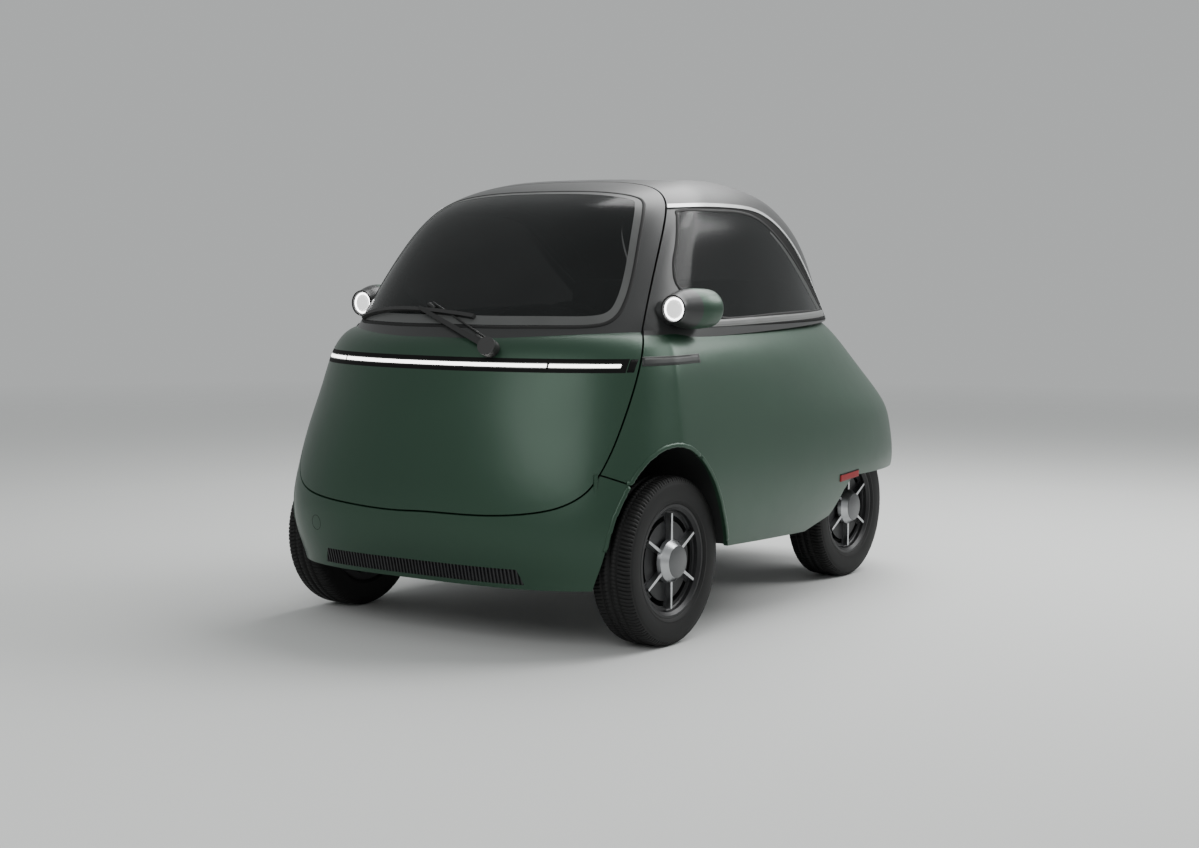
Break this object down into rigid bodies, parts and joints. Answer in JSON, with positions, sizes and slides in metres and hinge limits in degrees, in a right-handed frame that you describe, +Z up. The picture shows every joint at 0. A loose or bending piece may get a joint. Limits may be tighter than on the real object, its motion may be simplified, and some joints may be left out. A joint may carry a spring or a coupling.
{
  "type": "microcar",
  "caption": "Small rounded two-seat car with a side-hinged front door, rear hatch, steered front wheels and lamps in side pods.",
  "frame": {"origin": "on the ground under the middle of the car", "axes": "+Z up, the car faces -Y, its left side is +X"},
  "size_m": [1.4752, 2.5219, 1.4776],
  "materials": {
    "body_paint": "satin dark green paint",
    "dark_paint": "gloss charcoal",
    "black_plastic": "satin black",
    "lit_lens": "clear white lens, lit",
    "red_lens": "red lens",
    "sunroof_cloth": "black roof cloth",
    "tinted_glass": "tinted safety glass",
    "bright_trim": "bright",
    "underbody": "black underbody coating",
    "cast_black": "black coating",
    "axle_steel": "machined",
    "motor_alloy": "cast",
    "battery_case": "black powder coat",
    "seat_cloth": "dark grey cloth",
    "mirror_glass": "polished",
    "dash_plastic": "soft grained",
    "wheel_grip": "grained",
    "tyre_rubber": "rubber",
    "wheel_black": "satin black",
    "wheel_silver": "satin silver"
  },
  "bodies": {
    "root": {"front_bumper": "body_paint", "bumper_grille": "black_plastic", "body_side_left": "body_paint", "body_side_right": "body_paint", "rear_panel": "body_paint", "side_frame_left": "dark_paint", "side_frame_right": "dark_paint", "side_windows": "tinted_glass", "roof_panel": "dark_paint", "sunroof_cover": "sunroof_cloth", "roof_trim": "bright_trim", "floor_pan": "underbody", "front_suspension": "cast_black", "rear_axle": "cast_black", "motor": "motor_alloy", "battery": "battery_case", "seat_base": "seat_cloth", "seat_back": "seat_cloth", "steering_column": "black_plastic", "lamp_pods": "dark_paint", "mirror_shells": "body_paint", "headlamps": "lit_lens", "mirror_glasses": "mirror_glass"},
    "front_door": {"front_door_panel": "body_paint", "light_bar": "black_plastic", "light_bar_lens": "lit_lens", "door_frame": "dark_paint", "windscreen": "tinted_glass", "dash_bar": "dash_plastic", "wiper": "black_plastic"},
    "hatch": {"hatch_panel": "body_paint", "hatch_frame": "dark_paint", "hatch_glass": "tinted_glass", "rear_light_bar": "red_lens"},
    "steering_wheel": {"steering_wheel": "wheel_grip"},
    "steer_left": {"knuckle_left": "axle_steel"},
    "steer_right": {"knuckle_right": "axle_steel"},
    "wheel_front_left_body": {"tyre_front_left": "tyre_rubber", "wheel_front_left": "wheel_black", "hub_spider_front_left": "wheel_silver"},
    "wheel_front_right_body": {"tyre_front_right": "tyre_rubber", "wheel_front_right": "wheel_black", "hub_spider_front_right": "wheel_silver"},
    "wheel_rear_left_body": {"tyre_rear_left": "tyre_rubber", "wheel_rear_left": "wheel_black", "hub_spider_rear_left": "wheel_silver"},
    "wheel_rear_right_body": {"tyre_rear_right": "tyre_rubber", "wheel_rear_right": "wheel_black", "hub_spider_rear_right": "wheel_silver"}
  },
  "joints": [
    {"name": "front_door_hinge", "type": "hinge", "parent": "root", "child": "front_door", "pos_m": [0.601, -1.105, 0.546], "axis": [0, 0, 1], "range_deg": [0, 80]},
    {"name": "hatch_hinge", "type": "hinge", "parent": "root", "child": "hatch", "pos_m": [0, 0.364, 1.434], "axis": [1, 0, 0], "range_deg": [0, 75]},
    {"name": "steer_left", "type": "hinge", "parent": "root", "child": "steer_left", "pos_m": [0.606, -0.811, 0.2665], "axis": [0, 0, 1], "range_deg": [-28, 28]},
    {"name": "steer_right", "type": "hinge", "parent": "root", "child": "steer_right", "pos_m": [-0.606, -0.811, 0.2665], "axis": [0, 0, 1], "range_deg": [-28, 28]},
    {"name": "steering_wheel_turn", "type": "hinge", "parent": "root", "child": "steering_wheel", "pos_m": [0.23, -0.64, 0.9], "axis": [0, 0.8829, 0.4695], "range_deg": [-370, 370]},
    {"name": "wheel_front_left_spin", "type": "hinge", "parent": "steer_left", "child": "wheel_front_left_body", "pos_m": [0.628, -0.811, 0.2665], "axis": [1, 0, 0], "continuous": true},
    {"name": "wheel_front_right_spin", "type": "hinge", "parent": "steer_right", "child": "wheel_front_right_body", "pos_m": [-0.628, -0.811, 0.2665], "axis": [1, 0, 0], "continuous": true},
    {"name": "wheel_rear_left_spin", "type": "hinge", "parent": "root", "child": "wheel_rear_left_body", "pos_m": [0.446, 0.744, 0.2665], "axis": [1, 0, 0], "continuous": true},
    {"name": "wheel_rear_right_spin", "type": "hinge", "parent": "root", "child": "wheel_rear_right_body", "pos_m": [-0.446, 0.744, 0.2665], "axis": [1, 0, 0], "continuous": true}
  ],
  "couplings": [
    {"joint": "steer_right", "follows": "steer_left", "ratio": 1},
    {"joint": "steering_wheel_turn", "follows": "steer_left", "ratio": 13}
  ]
}
